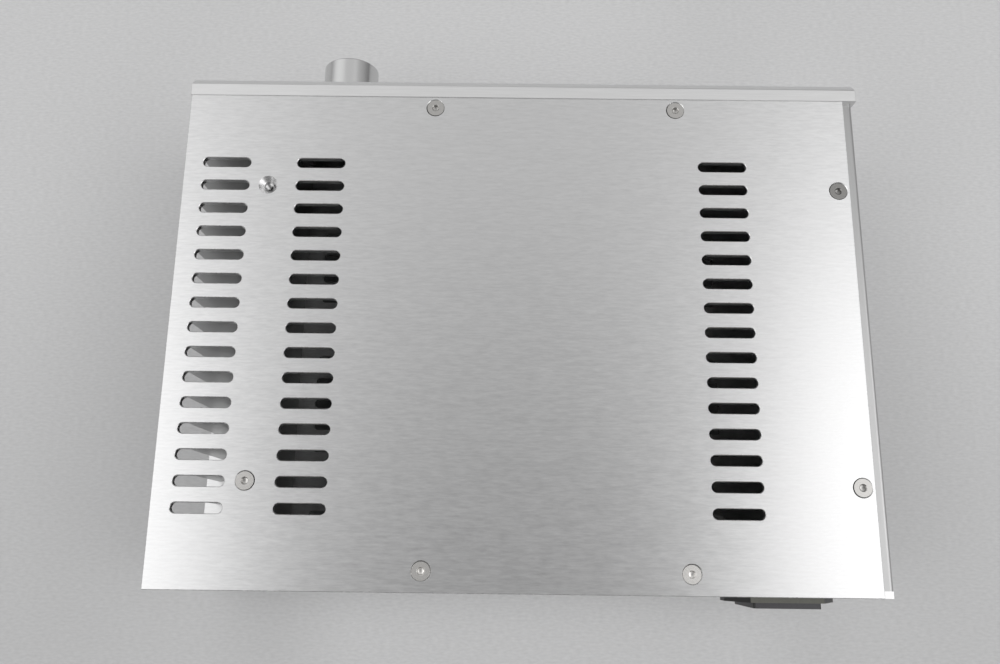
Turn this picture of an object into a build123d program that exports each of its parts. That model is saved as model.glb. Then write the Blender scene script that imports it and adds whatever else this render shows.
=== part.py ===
from build123d import *
import os

# Amplifier chassis: a flat aluminium case with a finned heatsink along its right side, a volume
# knob on the thick front panel and a fused mains inlet at the back. Sizes are in millimetres.
# Facing the knob, +X is to the right, -Y is the front and +Z is up. The origin is under the
# middle of the whole object, on the surface that the rubber feet stand on.

# Case
panel_width = 320.0
panel_thickness = 10.0
panel_bevel = 3.8
panel_edge = 0.3
inner_height = 70.0
plate_thickness = 3.0
plate_edge = 0.25
case_depth = 229.0
rear_thickness = 3.0
side_thickness = 5.5
side_edge_radius = 2.0
side_reveal = 1.1
rear_side_inset = 0.5
sink_reveal = 0.6

# Heatsink: an extruded base with tapered fins that point outwards
sink_base = 8.5
fin_length = 30.6
fin_inset = 5.3
fin_root_width = 2.6
fin_tip_width = 1.8
fin_root_radius = 0.8

# Round-ended vents, the same in the top cover and the bottom plate
vent_length = 22.6
vent_width = 4.7
vent_pitch = 11.45
vent_rows = 15
vent_front_inset = 34.65
sink_vent_inset = 20.0
inner_vent_inset = 64.4
far_vent_inset = 59.4

# Square bars that the plates and panels are screwed to
front_rail = 11.0
rear_rail = 12.0
side_rail = 11.0

# Countersunk M4 screws with a hexagon socket
m4 = 4.0
m4_clear = 4.4
m4_head = 8.0
m4_head_rim = 0.25
m4_mouth = 8.9
m4_socket = 2.5
m4_length = 10.0
m4_hole_depth = 12.0
thread_gap = 0.03
seat_gap = 0.05
cross_screw_offset = 3.7
cross_screw_spacing = 114.8
flank_screw_spacing = 137.2

# Small countersunk M3 screws for the rear panel and the inlet
m3 = 3.0
m3_clear = 3.4
m3_head = 5.6
m3_head_rim = 0.2
m3_mouth = 6.1
m3_socket = 2.0
m3_length = 8.0
m3_hole_depth = 9.0

# Cap screws, button screws and nuts
cap_head = 7.0
cap_head_height = 4.0
cap_socket = 3.0
rail_screw_spacing = 170.0
rail_screw_length = 12.0
rail_screw_bore = 7.6
side_panel_screw_spacing = 100.0
button_head = 7.6
button_head_height = 2.2
bracket_screw_length = 7.0
nut_width = 7.0
nut_height = 3.2
small_nut_width = 5.5
small_nut_height = 2.4

# Angle brackets in the two front corners
bracket_leg = 14.0
bracket_thickness = 3.0
bracket_end_gap = 2.0
bracket_screw_spacing = 26.0

# Feet
foot_diameter = 28.0
foot_taper = 2.0
foot_height = 12.0
foot_edge = 1.0
pad_diameter = 20.0
pad_recess = 2.5
pad_proud = 1.5
pad_hole = 9.0
foot_bore = 7.6
foot_screw_length = 12.0
foot_clearance = 5.0
foot_far_inset = 20.5

# Volume knob on its potentiometer
knob_inset = 24.9
knob_diameter = 28.0
knob_length = 24.2
knob_gap = 1.0
knob_edge = 0.7
knob_recess_diameter = 19.0
knob_recess_depth = 4.2
knob_bore_depth = 18.0
index_length = 4.5
index_width = 1.0
index_depth = 0.6
grub_diameter = 4.0
grub_length = 6.0
shaft_diameter = 6.0
running_gap = 0.05
fixed_gap = 0.02
can_diameter = 16.5
can_depth = 9.5
shaft_in_can = 6.0
bush_diameter = 7.0
bush_hole_gap = 0.3
bush_end_gap = 0.5
pot_washer_diameter = 13.0
pot_washer_thickness = 0.6
pot_nut_width = 10.0
pot_nut_height = 2.0
shaft_end_gap = 1.0

# Fused mains inlet
inlet_inset = 40.5
inlet_height = 39.1
flange_flat = 32.5
ear_span = 49.6
ear_flat = 8.0
ear_radius = 3.0
flange_thickness = 3.2
frame_width = 29.9
frame_height = 34.4
frame_radius = 1.5
frame_proud = 5.6
inlet_body_gap = 0.3
inlet_body_side_inset = 1.35
inlet_body_end_inset = 1.6
inlet_body_depth = 20.0
socket_width = 24.4
socket_height = 16.4
socket_bevel = 4.6
socket_depth = 17.5
socket_inset = 3.5
pin_width = 2.0
pin_height = 4.0
pin_length = 12.5
pin_spacing = 14.0
pin_drop = 1.5
earth_rise = 2.5
tab_width = 6.3
tab_thickness = 0.8
tab_length = 8.0
ear_screw_spacing = 40.0
drawer_width = 22.0
drawer_height = 8.2
drawer_length = 17.5
drawer_gap = 0.2
drawer_inset = 3.7
drawer_lip = 0.6
drawer_wall = 0.8
notch_width = 8.0
notch_depth = 1.8
fuse_length = 20.0
fuse_cap_diameter = 5.2
fuse_glass_diameter = 4.9
fuse_cap_length = 5.0
fuse_gap = 0.3

# Unfitted holes in the rear panel
phono_hole = 9.5
phono_inset = 23.0
phono_spacing = 22.0
post_hole = 8.0
post_inset = 111.0
post_spacing = 19.0

# Planes of the case, worked out from the sizes above
overall_depth = knob_length + knob_gap + panel_thickness + case_depth + frame_proud + drawer_lip
front_y = knob_length + knob_gap - overall_depth / 2
seam_y = front_y + panel_thickness
rear_y = seam_y + case_depth
rear_inner_y = rear_y - rear_thickness
middle_y = seam_y + case_depth / 2
bottom_z = foot_height
floor_z = bottom_z + plate_thickness
ceiling_z = floor_z + inner_height
top_z = ceiling_z + plate_thickness
middle_z = (bottom_z + top_z) / 2
side_outer_x = side_reveal - panel_width / 2
side_inner_x = side_outer_x + side_thickness
cover_right_x = panel_width / 2 - sink_reveal
fin_tip_x = cover_right_x - fin_inset
sink_outer_x = fin_tip_x - fin_length
sink_inner_x = sink_outer_x - sink_base
inlet_x = side_outer_x + inlet_inset
inlet_z = bottom_z + inlet_height
knob_x = sink_inner_x - knob_inset
inlet_body_width = frame_width - 2 * inlet_body_side_inset
inlet_body_height = frame_height - 2 * inlet_body_end_inset
socket_rise = (frame_height - socket_height) / 2 - socket_inset
drawer_drop = (frame_height - drawer_height) / 2 - drawer_inset

# Screw lines, in the middle of what the screws go into
sink_screw_x = (sink_inner_x + sink_outer_x) / 2
side_screw_x = side_inner_x + side_rail / 2
front_screw_y = seam_y + front_rail / 2
rear_screw_y = rear_inner_y - rear_rail / 2
cross_screw_centre = (side_inner_x + sink_inner_x) / 2 + cross_screw_offset
cross_xs = [cross_screw_centre + side * cross_screw_spacing / 2 for side in (-1, 1)]
rail_xs = [cross_screw_centre + side * rail_screw_spacing / 2 for side in (-1, 1)]
flank_ys = [middle_y + side * flank_screw_spacing / 2 for side in (-1, 1)]
side_panel_ys = [middle_y + side * side_panel_screw_spacing / 2 for side in (-1, 1)]
end_zs = [middle_z + side * bracket_screw_spacing / 2 for side in (-1, 1)]
foot_ys = [seam_y + front_rail + foot_clearance, rear_inner_y - rear_rail - foot_clearance]
foot_far_x = side_inner_x + foot_far_inset
foot_places = [(x, y) for x in (foot_far_x, sink_screw_x) for y in foot_ys]

# The screw at the front of the heatsink is missing from the top cover
missing_screw_place = (sink_screw_x, flank_ys[0])
plate_screw_places = [(x, front_screw_y) for x in cross_xs]
plate_screw_places += [(x, rear_screw_y) for x in cross_xs]
plate_screw_places += [(side_screw_x, y) for y in flank_ys]
plate_screw_places += [(sink_screw_x, y) for y in flank_ys]

# Turns that point a part's own +Z axis up, down, back, front, left or right
UP = Rot(0, 0, 0)
DOWN = Rot(180, 0, 0)
BACK = Rot(-90, 0, 0) * Rot(0, 0, 180)
FRONT = Rot(90, 0, 0)
LEFT = Rot(0, -90, 0)
RIGHT = Rot(0, 90, 0)
FROM_TOP = (Align.CENTER, Align.CENTER, Align.MAX)
FROM_BASE = (Align.CENTER, Align.CENTER, Align.MIN)

knob_face = Pos(knob_x, seam_y, middle_z) * FRONT
inlet_face = Pos(inlet_x, rear_y, inlet_z) * BACK


def block(x, y, z):
    """A box between two corners, each axis given as a pair."""
    size = Box(x[1] - x[0], y[1] - y[0], z[1] - z[0])
    return Pos((x[0] + x[1]) / 2, (y[0] + y[1]) / 2, (z[0] + z[1]) / 2) * size


def drill(place, facing, diameter, depth):
    """A round hole that opens at a place, on a face that looks the way given."""
    return Pos(*place) * facing * Cylinder(diameter / 2, depth, align=FROM_TOP)


def countersink(place, facing, hole, mouth, depth):
    """A screw hole with a 90 degree countersink at its mouth."""
    cone = Cone(hole / 2, mouth / 2, (mouth - hole) / 2, align=FROM_TOP)
    return drill(place, facing, hole, depth) + Pos(*place) * facing * cone


def flat_screw(size, head, rim, socket, length):
    """A countersunk screw, its head up and the top of the head at the origin."""
    cone_height = (head - size) / 2
    screw = Cylinder(head / 2, rim, align=FROM_TOP)
    screw += Pos(0, 0, -rim) * Cone(size / 2, head / 2, cone_height, align=FROM_TOP)
    screw += Pos(0, 0, -rim - cone_height) * Cylinder(
        size / 2, length - rim - cone_height, align=FROM_TOP
    )
    return screw - hex_socket(socket, rim + cone_height * 0.8)


def hex_socket(width, depth):
    """The hexagon hole in the top of a screw's head."""
    return extrude(RegularPolygon(width / 2, 6, major_radius=False), -depth)


def raised_screw(size, head, head_height, socket, length):
    """A cap or button screw, its head up and the underside of the head at the origin."""
    screw = Cylinder(head / 2, head_height, align=FROM_BASE)
    screw += Cylinder(size / 2, length, align=FROM_TOP)
    return screw - Pos(0, 0, head_height) * hex_socket(socket, head_height * 0.6)


def hex_nut(width, height, hole):
    """A nut with its lower face at the origin."""
    outline = RegularPolygon(width / 2, 6, major_radius=False) - Circle(hole / 2)
    return extrude(outline, height)


def head_depth(mouth, head, rim):
    """How far a countersunk head's top lies below the face that it is let into."""
    return (mouth - head) / 2 - rim - seat_gap


def set_in(place, facing, screw, depth):
    """A screw let into a face by a depth."""
    return Pos(*place) * facing * Pos(0, 0, -depth) * screw


def save(name, *solids):
    """Writes a sub-part, one solid or a group of separate ones."""
    shape = solids[0] if len(solids) == 1 else Compound(children=list(solids))
    shape.label = name
    export_step(shape, f"parts/{name}.step")


def vent_columns():
    """Middles of the three columns of vents, from the heatsink to the far side."""
    return [
        cover_right_x - sink_vent_inset,
        cover_right_x - inner_vent_inset,
        side_inner_x + far_vent_inset,
    ]


def plate_outline():
    """The top or bottom plate seen from above, with its vents cut."""
    width = cover_right_x - side_inner_x
    outline = Pos((cover_right_x + side_inner_x) / 2, middle_y) * Rectangle(width, case_depth)
    vents = [
        Pos(x, seam_y + vent_front_inset + row * vent_pitch) * SlotOverall(vent_length, vent_width)
        for x in vent_columns()
        for row in range(vent_rows)
    ]
    return outline - vents


def vented_plate(lower_z, outer_face):
    """A plate with its vents, and all the edges of its outer face broken."""
    plate = Pos(0, 0, lower_z) * extrude(plate_outline(), plate_thickness)
    return chamfer(plate.faces().sort_by(Axis.Z)[outer_face].edges(), plate_edge)


def top_cover():
    """Brushed plate with eight countersunk holes."""
    plate = vented_plate(ceiling_z, -1)
    for x, y in plate_screw_places:
        plate -= countersink((x, y, top_z), UP, m4_clear, m4_mouth, plate_thickness)
    return plate


def bottom_plate():
    """The same plate turned over, with four more holes for the feet."""
    plate = vented_plate(bottom_z, 0)
    for x, y in plate_screw_places:
        plate -= countersink((x, y, bottom_z), DOWN, m4_clear, m4_mouth, plate_thickness)
    for x, y in foot_places:
        plate -= drill((x, y, bottom_z), DOWN, m4_clear, plate_thickness)
    return plate


def plate_screws(z, facing, places):
    """The countersunk screws of one plate."""
    screw = flat_screw(m4, m4_head, m4_head_rim, m4_socket, m4_length)
    depth = head_depth(m4_mouth, m4_head, m4_head_rim)
    return [set_in((x, y, z), facing, screw, depth) for x, y in places]


def heatsink():
    """Base and fins, extruded in one piece and cut to the height of the case."""
    length = rear_inner_y - seam_y
    middle = (rear_inner_y + seam_y) / 2
    profile = Pos(sink_screw_x, middle) * Rectangle(sink_base, length)
    profile += [Pos(sink_outer_x, y) * fin_profile() for y in fin_places()]
    roots = [corner for corner in profile.vertices() if abs(corner.X - sink_outer_x) < 0.01]
    profile = fillet([root for root in roots if between_fins(root.Y)], fin_root_radius)
    sink = Pos(0, 0, floor_z) * extrude(profile, inner_height)
    for y in flank_ys:
        sink -= drill((sink_screw_x, y, ceiling_z), UP, m4 + 2 * thread_gap, m4_hole_depth)
        sink -= drill((sink_screw_x, y, floor_z), DOWN, m4 + 2 * thread_gap, m4_hole_depth)
    for y in foot_ys:
        sink -= drill((sink_screw_x, y, floor_z), DOWN, m4 + 2 * thread_gap, m4_hole_depth)
    for z in end_zs:
        sink -= drill((sink_screw_x, rear_inner_y, z), BACK, m3 + 2 * thread_gap, m3_hole_depth)
        place = (sink_inner_x, seam_y + bracket_leg_middle(), z)
        sink -= drill(place, LEFT, m4 + 2 * thread_gap, bracket_hole_depth())
    return sink


def between_fins(y):
    """Whether a fin's root at this place has another fin beside it, and so a rounded corner."""
    return fin_places()[0] < y < fin_places()[-1]


def fin_places():
    """Fins stand under the bars between the vents, and go on at the same pitch to both ends."""
    first = seam_y + vent_front_inset - vent_pitch / 2
    while first - vent_pitch > seam_y + fin_root_width / 2:
        first -= vent_pitch
    count = int((rear_inner_y - fin_root_width / 2 - first) // vent_pitch) + 1
    return [first + number * vent_pitch for number in range(count)]


def fin_profile():
    """One tapered fin with a round tip, its root at the origin and reaching into the base."""
    root = fin_root_width / 2
    tip = fin_tip_width / 2
    straight = fin_length - tip
    corners = [(-1, -root), (0, -root), (straight, -tip), (straight, tip), (0, root), (-1, root)]
    return Polygon(*corners, align=None) + Pos(straight, 0) * Circle(tip)


def front_panel():
    """Thick plate with a wide bevel along its front and every other edge broken."""
    half = panel_width / 2
    panel = block((-half, half), (front_y, seam_y), (bottom_z, top_z))
    long_edges = panel.faces().sort_by(Axis.Y)[0].edges().filter_by(Axis.X)
    panel = chamfer(long_edges, panel_bevel)
    panel = chamfer(panel.edges(), panel_edge)
    hole = bush_diameter + 2 * bush_hole_gap
    panel -= knob_face * Cylinder(hole / 2, 2 * panel_thickness)
    for x in rail_xs:
        for z in rail_zs(front_rail):
            panel -= drill((x, seam_y, z), BACK, m4 + 2 * thread_gap, rail_screw_reach())
    for x in bracket_panel_xs():
        for z in end_zs:
            panel -= drill((x, seam_y, z), BACK, m4 + 2 * thread_gap, bracket_hole_depth())
    return panel


def rail_zs(size):
    """Middle heights of a lower and an upper rail."""
    return [floor_z + size / 2, ceiling_z - size / 2]


def rail_screw_reach():
    """How deep a screw that holds a front rail goes into the front panel."""
    return rail_screw_length - front_rail + cap_head_height + 1.5


def front_rail_bar(upper):
    """Cross bar behind the front panel, counterbored for the screws that hold it there."""
    z = rail_zs(front_rail)[upper]
    bar = block(
        (side_inner_x, sink_inner_x),
        (seam_y, seam_y + front_rail),
        (z - front_rail / 2, z + front_rail / 2),
    )
    for x in rail_xs:
        place = (x, seam_y + front_rail, z)
        bar -= drill(place, BACK, m4_clear, front_rail)
        bar -= drill(place, BACK, rail_screw_bore, cap_head_height + 0.5)
    return bar - plate_holes(cross_xs, [front_screw_y], upper)


def plate_holes(xs, ys, upper):
    """Tapped holes for the plate screws in the top or bottom face of a rail."""
    z = ceiling_z if upper else floor_z
    facing = UP if upper else DOWN
    return [drill((x, y, z), facing, m4 + 2 * thread_gap, m4_length - 1) for x in xs for y in ys]


def rear_rail_bar(upper):
    """Cross bar inside the rear panel."""
    z = rail_zs(rear_rail)[upper]
    bar = block(
        (side_inner_x, sink_inner_x),
        (rear_inner_y - rear_rail, rear_inner_y),
        (z - rear_rail / 2, z + rear_rail / 2),
    )
    for x in rail_xs:
        bar -= drill((x, rear_inner_y, z), BACK, m3 + 2 * thread_gap, m3_hole_depth)
    return bar - plate_holes(cross_xs, [rear_screw_y], upper)


def side_rail_bar(upper):
    """Bar along the side panel, between the two cross bars."""
    z = rail_zs(side_rail)[upper]
    bar = block(
        (side_inner_x, side_inner_x + side_rail),
        (seam_y + front_rail, rear_inner_y - rear_rail),
        (z - side_rail / 2, z + side_rail / 2),
    )
    for y in side_panel_ys:
        bar -= drill((side_inner_x, y, z), LEFT, m4 + 2 * thread_gap, side_rail - 1)
    return bar - plate_holes([side_screw_x], flank_ys, upper)


def rail_screws():
    """Cap screws that hold the front rails to the front panel from behind."""
    screw = raised_screw(m4, cap_head, cap_head_height, cap_socket, rail_screw_length)
    y = seam_y + front_rail - cap_head_height - 0.5
    return [Pos(x, y, z) * BACK * screw for x in rail_xs for z in rail_zs(front_rail)]


def side_panel():
    """Plain plate on the far side, its outer top and bottom edges rounded."""
    plate = block((side_outer_x, side_inner_x), (seam_y, rear_inner_y), (floor_z, ceiling_z))
    edges = plate.edges().filter_by(Axis.Y).group_by(Axis.X)[0]
    plate = fillet(edges, side_edge_radius)
    for y in side_panel_ys:
        for z in rail_zs(side_rail):
            plate -= countersink((side_outer_x, y, z), LEFT, m4_clear, m4_mouth, side_thickness)
    for z in end_zs:
        place = (side_inner_x, seam_y + bracket_leg_middle(), z)
        plate -= drill(place, RIGHT, m4 + 2 * thread_gap, bracket_side_reach())
    return plate


def side_panel_screws():
    """Countersunk screws through the side panel into its rails."""
    screw = flat_screw(m4, m4_head, m4_head_rim, m4_socket, m4_length)
    depth = head_depth(m4_mouth, m4_head, m4_head_rim)
    places = [(side_outer_x, y, z) for y in side_panel_ys for z in rail_zs(side_rail)]
    return [set_in(place, LEFT, screw, depth) for place in places]


def rear_panel():
    """Plate across the back of heatsink, case and side panel, with the inlet's cut-out."""
    left_x = side_outer_x + rear_side_inset
    plate = block((left_x, cover_right_x), (rear_inner_y, rear_y), (floor_z, ceiling_z))
    for place in rear_screw_places():
        plate -= countersink(place, BACK, m3_clear, m3_mouth, rear_thickness)
    cutout = Rectangle(
        inlet_body_width + 2 * inlet_body_gap, inlet_body_height + 2 * inlet_body_gap
    )
    plate -= inlet_face * extrude(cutout, -rear_thickness)
    for side in (-1, 1):
        place = (inlet_x + side * ear_screw_spacing / 2, rear_y, inlet_z)
        plate -= drill(place, BACK, m3_clear, rear_thickness)
    for place in phono_places():
        plate -= drill(place, BACK, phono_hole, rear_thickness)
    for place in post_places():
        plate -= drill(place, BACK, post_hole, rear_thickness)
    return plate


def rear_screw_places():
    """Screws into the rear rails and the end of the heatsink."""
    places = [(x, rear_y, z) for x in rail_xs for z in rail_zs(rear_rail)]
    return places + [(sink_screw_x, rear_y, z) for z in end_zs]


def phono_places():
    """Two holes for signal sockets, one above the other."""
    x = sink_inner_x - phono_inset
    return [(x, rear_y, middle_z + side * phono_spacing / 2) for side in (-1, 1)]


def post_places():
    """Four holes for loudspeaker terminals, in a square."""
    x = sink_inner_x - post_inset
    half = post_spacing / 2
    return [(x + i * half, rear_y, middle_z + j * half) for i in (-1, 1) for j in (-1, 1)]


def rear_screws():
    """Small countersunk screws of the rear panel."""
    screw = flat_screw(m3, m3_head, m3_head_rim, m3_socket, m3_length)
    depth = head_depth(m3_mouth, m3_head, m3_head_rim)
    return [set_in(place, BACK, screw, depth) for place in rear_screw_places()]


def bracket_leg_middle():
    """Distance of a bracket's screws from its outer corner."""
    return (bracket_leg + bracket_thickness) / 2


def bracket_hole_depth():
    """Depth of a bracket screw's hole in the front panel and the heatsink."""
    return bracket_screw_length - bracket_thickness + 1


def bracket_side_reach():
    """Depth of a bracket screw's hole in the side panel, which it must not break through."""
    return min(bracket_screw_length - bracket_thickness, side_thickness - 0.6)


def bracket_panel_xs():
    """Where the bracket screws meet the front panel, on the far side and at the heatsink."""
    return [side_inner_x + bracket_leg_middle(), sink_inner_x - bracket_leg_middle()]


def corner_brackets():
    """Lengths of angle between the front panel and the two sides."""
    brackets = []
    low = floor_z + front_rail + bracket_end_gap
    high = ceiling_z - front_rail - bracket_end_gap
    for corner_x, way, x in zip((side_inner_x, sink_inner_x), (1, -1), bracket_panel_xs()):
        leg_x = sorted((corner_x, corner_x + way * bracket_leg))
        web_x = sorted((corner_x, corner_x + way * bracket_thickness))
        angle = block(leg_x, (seam_y, seam_y + bracket_thickness), (low, high))
        angle += block(web_x, (seam_y, seam_y + bracket_leg), (low, high))
        facing = RIGHT if way > 0 else LEFT
        for z in end_zs:
            angle -= drill((x, seam_y + bracket_thickness, z), BACK, m4_clear, bracket_thickness)
            place = (corner_x + way * bracket_thickness, seam_y + bracket_leg_middle(), z)
            angle -= drill(place, facing, m4_clear, bracket_thickness)
        brackets.append(angle)
    return brackets


def bracket_screws():
    """Button screws of the angle brackets, shorter ones into the thin side panel."""
    screw = raised_screw(m4, button_head, button_head_height, m4_socket, bracket_screw_length)
    short = raised_screw(
        m4, button_head, button_head_height, m4_socket, bracket_thickness + bracket_side_reach()
    )
    y = seam_y + bracket_leg_middle()
    screws = []
    for z in end_zs:
        for x in bracket_panel_xs():
            screws.append(Pos(x, seam_y + bracket_thickness, z) * BACK * screw)
        screws.append(Pos(sink_inner_x - bracket_thickness, y, z) * LEFT * screw)
        screws.append(Pos(side_inner_x + bracket_thickness, y, z) * RIGHT * short)
    return screws


def feet():
    """Turned aluminium feet, hollowed underneath for the rubber and the screw head."""
    top = foot_diameter / 2
    height = foot_height - pad_proud
    foot = Cone(top - foot_taper, top, height, align=FROM_BASE)
    foot = chamfer(foot.faces().sort_by(Axis.Z)[0].edges(), foot_edge)
    foot -= Cylinder(pad_diameter / 2, pad_recess, align=FROM_BASE)
    foot -= Cylinder(foot_bore / 2, pad_recess + cap_head_height, align=FROM_BASE)
    foot -= Cylinder(m4_clear / 2, height, align=FROM_BASE)
    return [Pos(x, y, pad_proud) * foot for x, y in foot_places]


def foot_pads():
    """Rubber rings pressed into the feet, standing a little proud."""
    pad = Cylinder(pad_diameter / 2 - thread_gap, pad_recess + pad_proud, align=FROM_BASE)
    pad -= Cylinder(pad_hole / 2, pad_recess + pad_proud, align=FROM_BASE)
    return [Pos(x, y, 0) * pad for x, y in foot_places]


def foot_screws():
    """Cap screws up through the feet and the bottom plate."""
    screw = raised_screw(m4, cap_head, cap_head_height, cap_socket, foot_screw_length)
    z = pad_proud + pad_recess + cap_head_height
    return [Pos(x, y, z) * DOWN * screw for x, y in foot_places]


def foot_nuts():
    """Nuts on the two screws that don't reach the heatsink's base."""
    nut = hex_nut(nut_width, nut_height, m4 + 2 * thread_gap)
    return [Pos(foot_far_x, y, floor_z) * nut for y in foot_ys]


def knob():
    """Turned knob, plain on the outside, hollowed behind to clear the nut."""
    base = panel_thickness + knob_gap
    body = Cylinder(knob_diameter / 2, knob_length, align=FROM_BASE)
    body = chamfer(body.faces().sort_by(Axis.Z)[-1].edges(), knob_edge)
    body -= Cylinder(knob_recess_diameter / 2, knob_recess_depth, align=FROM_BASE)
    body -= Cylinder(shaft_diameter / 2 + fixed_gap, knob_bore_depth, align=FROM_BASE)
    index_y = knob_diameter / 2 - knob_edge - index_length / 2
    body -= Pos(0, index_y, knob_length) * Box(index_width, index_length, 2 * index_depth)
    body -= grub_hole()
    return knob_face * Pos(0, 0, base) * body


def grub_z():
    """Height of the set screw above the knob's back face."""
    return (knob_recess_depth + knob_bore_depth) / 2


def grub_hole():
    """Tapped hole from the knob's underside to its bore."""
    hole = Cylinder(grub_diameter / 2 + thread_gap, knob_diameter / 2, align=FROM_BASE)
    return Pos(0, 0, grub_z()) * Rot(90, 0, 0) * hole


def knob_set_screw():
    """Grub screw that holds the knob on its shaft."""
    grub = Cylinder(grub_diameter / 2, grub_length, align=FROM_BASE)
    grub -= Pos(0, 0, grub_length) * hex_socket(grub_diameter / 2, grub_length / 2)
    start = shaft_diameter / 2 + fixed_gap
    base = panel_thickness + knob_gap + grub_z()
    return knob_face * Pos(0, 0, base) * Rot(90, 0, 0) * Pos(0, 0, start) * grub


def bush_length():
    """Reach of the potentiometer's threaded neck from the back of the front panel."""
    return panel_thickness + pot_washer_thickness + pot_nut_height + bush_end_gap


def pot_body():
    """Potentiometer: round can, threaded neck and the strip that carries its terminals."""
    can = Cylinder(can_diameter / 2, can_depth, align=FROM_TOP)
    can += Cylinder(bush_diameter / 2, bush_length(), align=FROM_BASE)
    strip = Box(can_diameter - 3, can_diameter / 2 + 4, 1.6, align=(Align.CENTER, Align.MAX, Align.MAX))
    can += Pos(0, 0, -2) * strip
    bore = Cylinder(shaft_diameter / 2 + running_gap, bush_length() + shaft_in_can, align=FROM_TOP)
    return knob_face * (can - Pos(0, 0, bush_length()) * bore)


def pot_terminals():
    """Three solder tags on the strip under the can."""
    tag = Box(1.4, 6, 0.8, align=(Align.CENTER, Align.MAX, Align.CENTER))
    return [knob_face * Pos(5 * way, -can_diameter / 2 - 4, -2.8) * tag for way in (-1, 0, 1)]


def pot_shaft():
    """Shaft that turns in the neck and carries the knob."""
    reach = panel_thickness + knob_gap + knob_bore_depth - shaft_end_gap
    shaft = Cylinder(shaft_diameter / 2, reach + shaft_in_can - running_gap, align=FROM_TOP)
    return knob_face * Pos(0, 0, reach) * shaft


def pot_washer():
    """Washer between the front panel and the nut."""
    ring = Circle(pot_washer_diameter / 2) - Circle(bush_diameter / 2 + bush_hole_gap)
    return knob_face * Pos(0, 0, panel_thickness) * extrude(ring, pot_washer_thickness)


def pot_nut():
    """Nut that clamps the potentiometer to the panel, hidden in the knob's hollow back."""
    nut = hex_nut(pot_nut_width, pot_nut_height, bush_diameter + 2 * thread_gap)
    return knob_face * Pos(0, 0, panel_thickness + pot_washer_thickness) * nut


def socket_outline():
    """Mains socket opening: a rectangle with its two upper corners bevelled."""
    x = socket_width / 2
    y = socket_height / 2
    b = socket_bevel
    outline = Polygon((-x, -y), (x, -y), (x, y - b), (x - b, y), (b - x, y), (-x, y - b), align=None)
    return Pos(0, socket_rise) * outline


def flange_outline():
    """Flange with an ear each side for its screws."""
    flat = flange_flat / 2
    half = frame_height / 2
    ear = ear_span / 2
    tip = ear_flat / 2
    points = [(-flat, -half), (flat, -half), (ear, -tip), (ear, tip)]
    points += [(flat, half), (-flat, half), (-ear, tip), (-ear, -tip)]
    outline = Polygon(*points, align=None)
    ears = [corner for corner in outline.vertices() if abs(corner.X) > flat + 1]
    return fillet(ears, ear_radius)


def inlet_housing():
    """Moulded housing: flange, raised frame, body in the cut-out, socket and drawer pocket."""
    housing = extrude(flange_outline(), flange_thickness)
    housing += extrude(RectangleRounded(frame_width, frame_height, frame_radius), frame_proud)
    body = Rectangle(inlet_body_width, inlet_body_height)
    housing += extrude(body, -rear_thickness - inlet_body_depth)
    face = Pos(0, 0, frame_proud)
    housing -= face * extrude(socket_outline(), -socket_depth)
    pocket = Rectangle(drawer_width + 2 * drawer_gap, drawer_height + 2 * drawer_gap)
    housing -= face * Pos(0, -drawer_drop) * extrude(pocket, -drawer_length - drawer_gap)
    for x, y in pin_places():
        slot = Pos(x, y) * Rectangle(pin_width, pin_height)
        housing -= extrude(slot, -rear_thickness - inlet_body_depth)
    for side in (-1, 1):
        place = (side * ear_screw_spacing / 2, 0, flange_thickness)
        housing -= countersink(place, UP, m3_clear, m3_mouth, flange_thickness)
    return inlet_face * housing


def pin_places():
    """Line and neutral side by side, earth above and between them."""
    low = socket_rise - pin_drop
    return [(-pin_spacing / 2, low), (pin_spacing / 2, low), (0, socket_rise + earth_rise)]


def inlet_pins():
    """Three blades with a push-on tab behind."""
    back = -rear_thickness - inlet_body_depth
    front = frame_proud - socket_depth + pin_length
    pins = []
    for x, y in pin_places():
        blade = Pos(x, y, back) * Box(pin_width, pin_height, front - back, align=FROM_BASE)
        tab = Pos(x, y, back) * Box(tab_thickness, tab_width, tab_length, align=FROM_TOP)
        pins.append(inlet_face * (blade + tab))
    return pins


def inlet_screws():
    """Small countersunk screws in the inlet's ears."""
    screw = flat_screw(m3, m3_head, m3_head_rim, m3_socket, m3_length + 2)
    depth = head_depth(m3_mouth, m3_head, m3_head_rim)
    ears = [side * ear_screw_spacing / 2 for side in (-1, 1)]
    return [inlet_face * set_in((x, 0, flange_thickness), UP, screw, depth) for x in ears]


def inlet_nuts():
    """Nuts on those screws, inside the case."""
    nut = hex_nut(small_nut_width, small_nut_height, m3 + 2 * thread_gap)
    ears = [side * ear_screw_spacing / 2 for side in (-1, 1)]
    back = -rear_thickness - small_nut_height
    return [inlet_face * Pos(x, 0, back) * nut for x in ears]


def fuse_place():
    """Middle of the fuse, near the inner end of the drawer."""
    z = frame_proud - drawer_length + drawer_wall + fuse_gap + fuse_cap_diameter / 2
    return Pos(0, -drawer_drop, z) * Rot(0, 90, 0)


def fuse_drawer():
    """Sliding drawer with a trough for the fuse and a notch to pull it by."""
    box = Box(drawer_width, drawer_height, drawer_length + drawer_lip, align=FROM_BASE)
    trough_z = fuse_cap_diameter + 2 * fuse_gap
    trough = Box(
        fuse_length + 2 * fuse_gap,
        (drawer_height + fuse_cap_diameter) / 2 + fuse_gap,
        trough_z,
        align=(Align.CENTER, Align.MAX, Align.MIN),
    )
    box -= Pos(0, drawer_height / 2, drawer_wall) * trough
    notch = Box(notch_width, notch_depth, notch_depth, align=(Align.CENTER, Align.MAX, Align.MAX))
    box -= Pos(0, drawer_height / 2, drawer_length + drawer_lip) * notch
    return inlet_face * Pos(0, -drawer_drop, frame_proud - drawer_length) * box


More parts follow.
